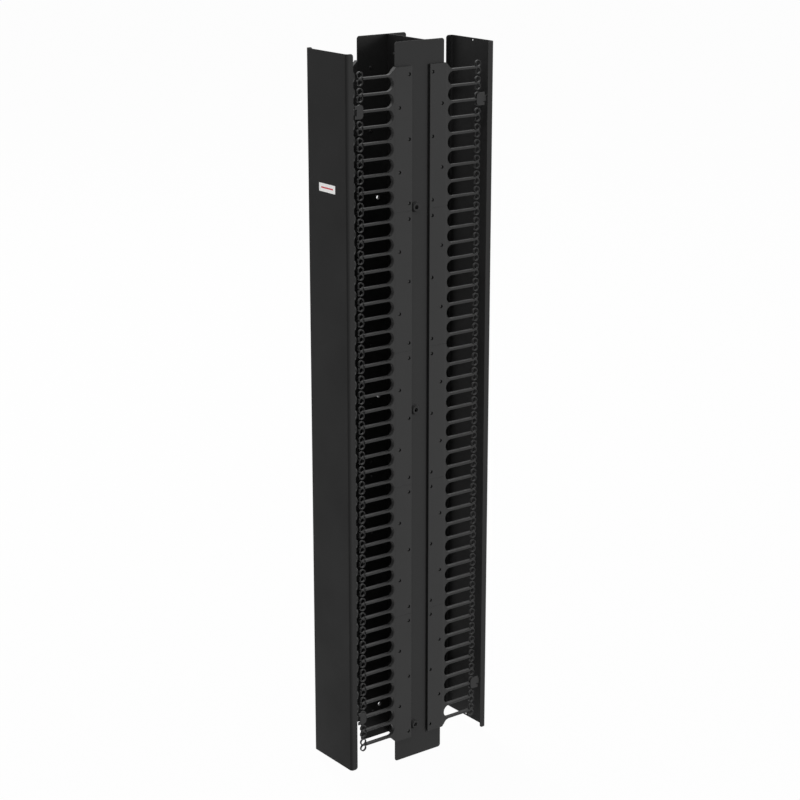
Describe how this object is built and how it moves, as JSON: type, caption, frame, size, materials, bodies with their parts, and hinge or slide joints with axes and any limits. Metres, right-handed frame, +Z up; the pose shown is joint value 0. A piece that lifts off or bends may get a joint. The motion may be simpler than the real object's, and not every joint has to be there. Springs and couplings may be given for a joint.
{
  "type": "vertical cable manager",
  "caption": "Tall two-sided cable manager: steel side plates and a web carry combs of ring-tipped fingers, with clip-on covers front and rear.",
  "frame": {"origin": "on the floor, midway between the sides and between the front and rear covers", "axes": "+Z up, -Y towards the front cover, +X to the right seen from the front"},
  "size_m": [0.191, 0.5082, 2.1336],
  "materials": {
    "frame_paint": "black powder coat, satin",
    "cover_paint": "black powder coat, satin",
    "strip_plastic": "black moulded plastic, fine texture",
    "clip_plastic": "black moulded plastic",
    "rivet_steel": "blackened rivets",
    "label_white": "white film"
  },
  "bodies": {
    "frame": {"left_side_plate": "frame_paint", "right_side_plate": "frame_paint", "spine_web": "frame_paint", "web_rivets": "frame_paint", "left_mount_spacers": "frame_paint", "right_mount_spacers": "frame_paint", "front_left_strip_1": "strip_plastic", "front_left_strip_2": "strip_plastic", "front_left_strip_3": "strip_plastic", "front_left_strip_4": "strip_plastic", "front_left_strip_5": "strip_plastic", "front_right_strip_1": "strip_plastic", "front_right_strip_2": "strip_plastic", "front_right_strip_3": "strip_plastic", "front_right_strip_4": "strip_plastic", "front_right_strip_5": "strip_plastic", "rear_left_strip_1": "strip_plastic", "rear_left_strip_2": "strip_plastic", "rear_left_strip_3": "strip_plastic", "rear_left_strip_4": "strip_plastic", "rear_left_strip_5": "strip_plastic", "rear_right_strip_1": "strip_plastic", "rear_right_strip_2": "strip_plastic", "rear_right_strip_3": "strip_plastic", "rear_right_strip_4": "strip_plastic", "rear_right_strip_5": "strip_plastic", "front_left_rivets": "rivet_steel", "front_right_rivets": "rivet_steel", "rear_left_rivets": "rivet_steel", "rear_right_rivets": "rivet_steel", "front_left_upper_clip": "clip_plastic", "front_left_lower_clip": "clip_plastic", "front_right_upper_clip": "clip_plastic", "front_right_lower_clip": "clip_plastic", "rear_left_upper_clip": "clip_plastic", "rear_left_lower_clip": "clip_plastic", "rear_right_upper_clip": "clip_plastic", "rear_right_lower_clip": "clip_plastic"},
    "front_cover": {"front_cover": "cover_paint", "front_label": "label_white"},
    "rear_cover": {"rear_cover": "cover_paint"}
  },
  "joints": [
    {"name": "front_cover_pull", "type": "slide", "parent": "frame", "child": "front_cover", "axis": [0, -1, 0], "range_m": [0, 0.1]},
    {"name": "rear_cover_pull", "type": "slide", "parent": "frame", "child": "rear_cover", "axis": [0, 1, 0], "range_m": [0, 0.1]}
  ]
}
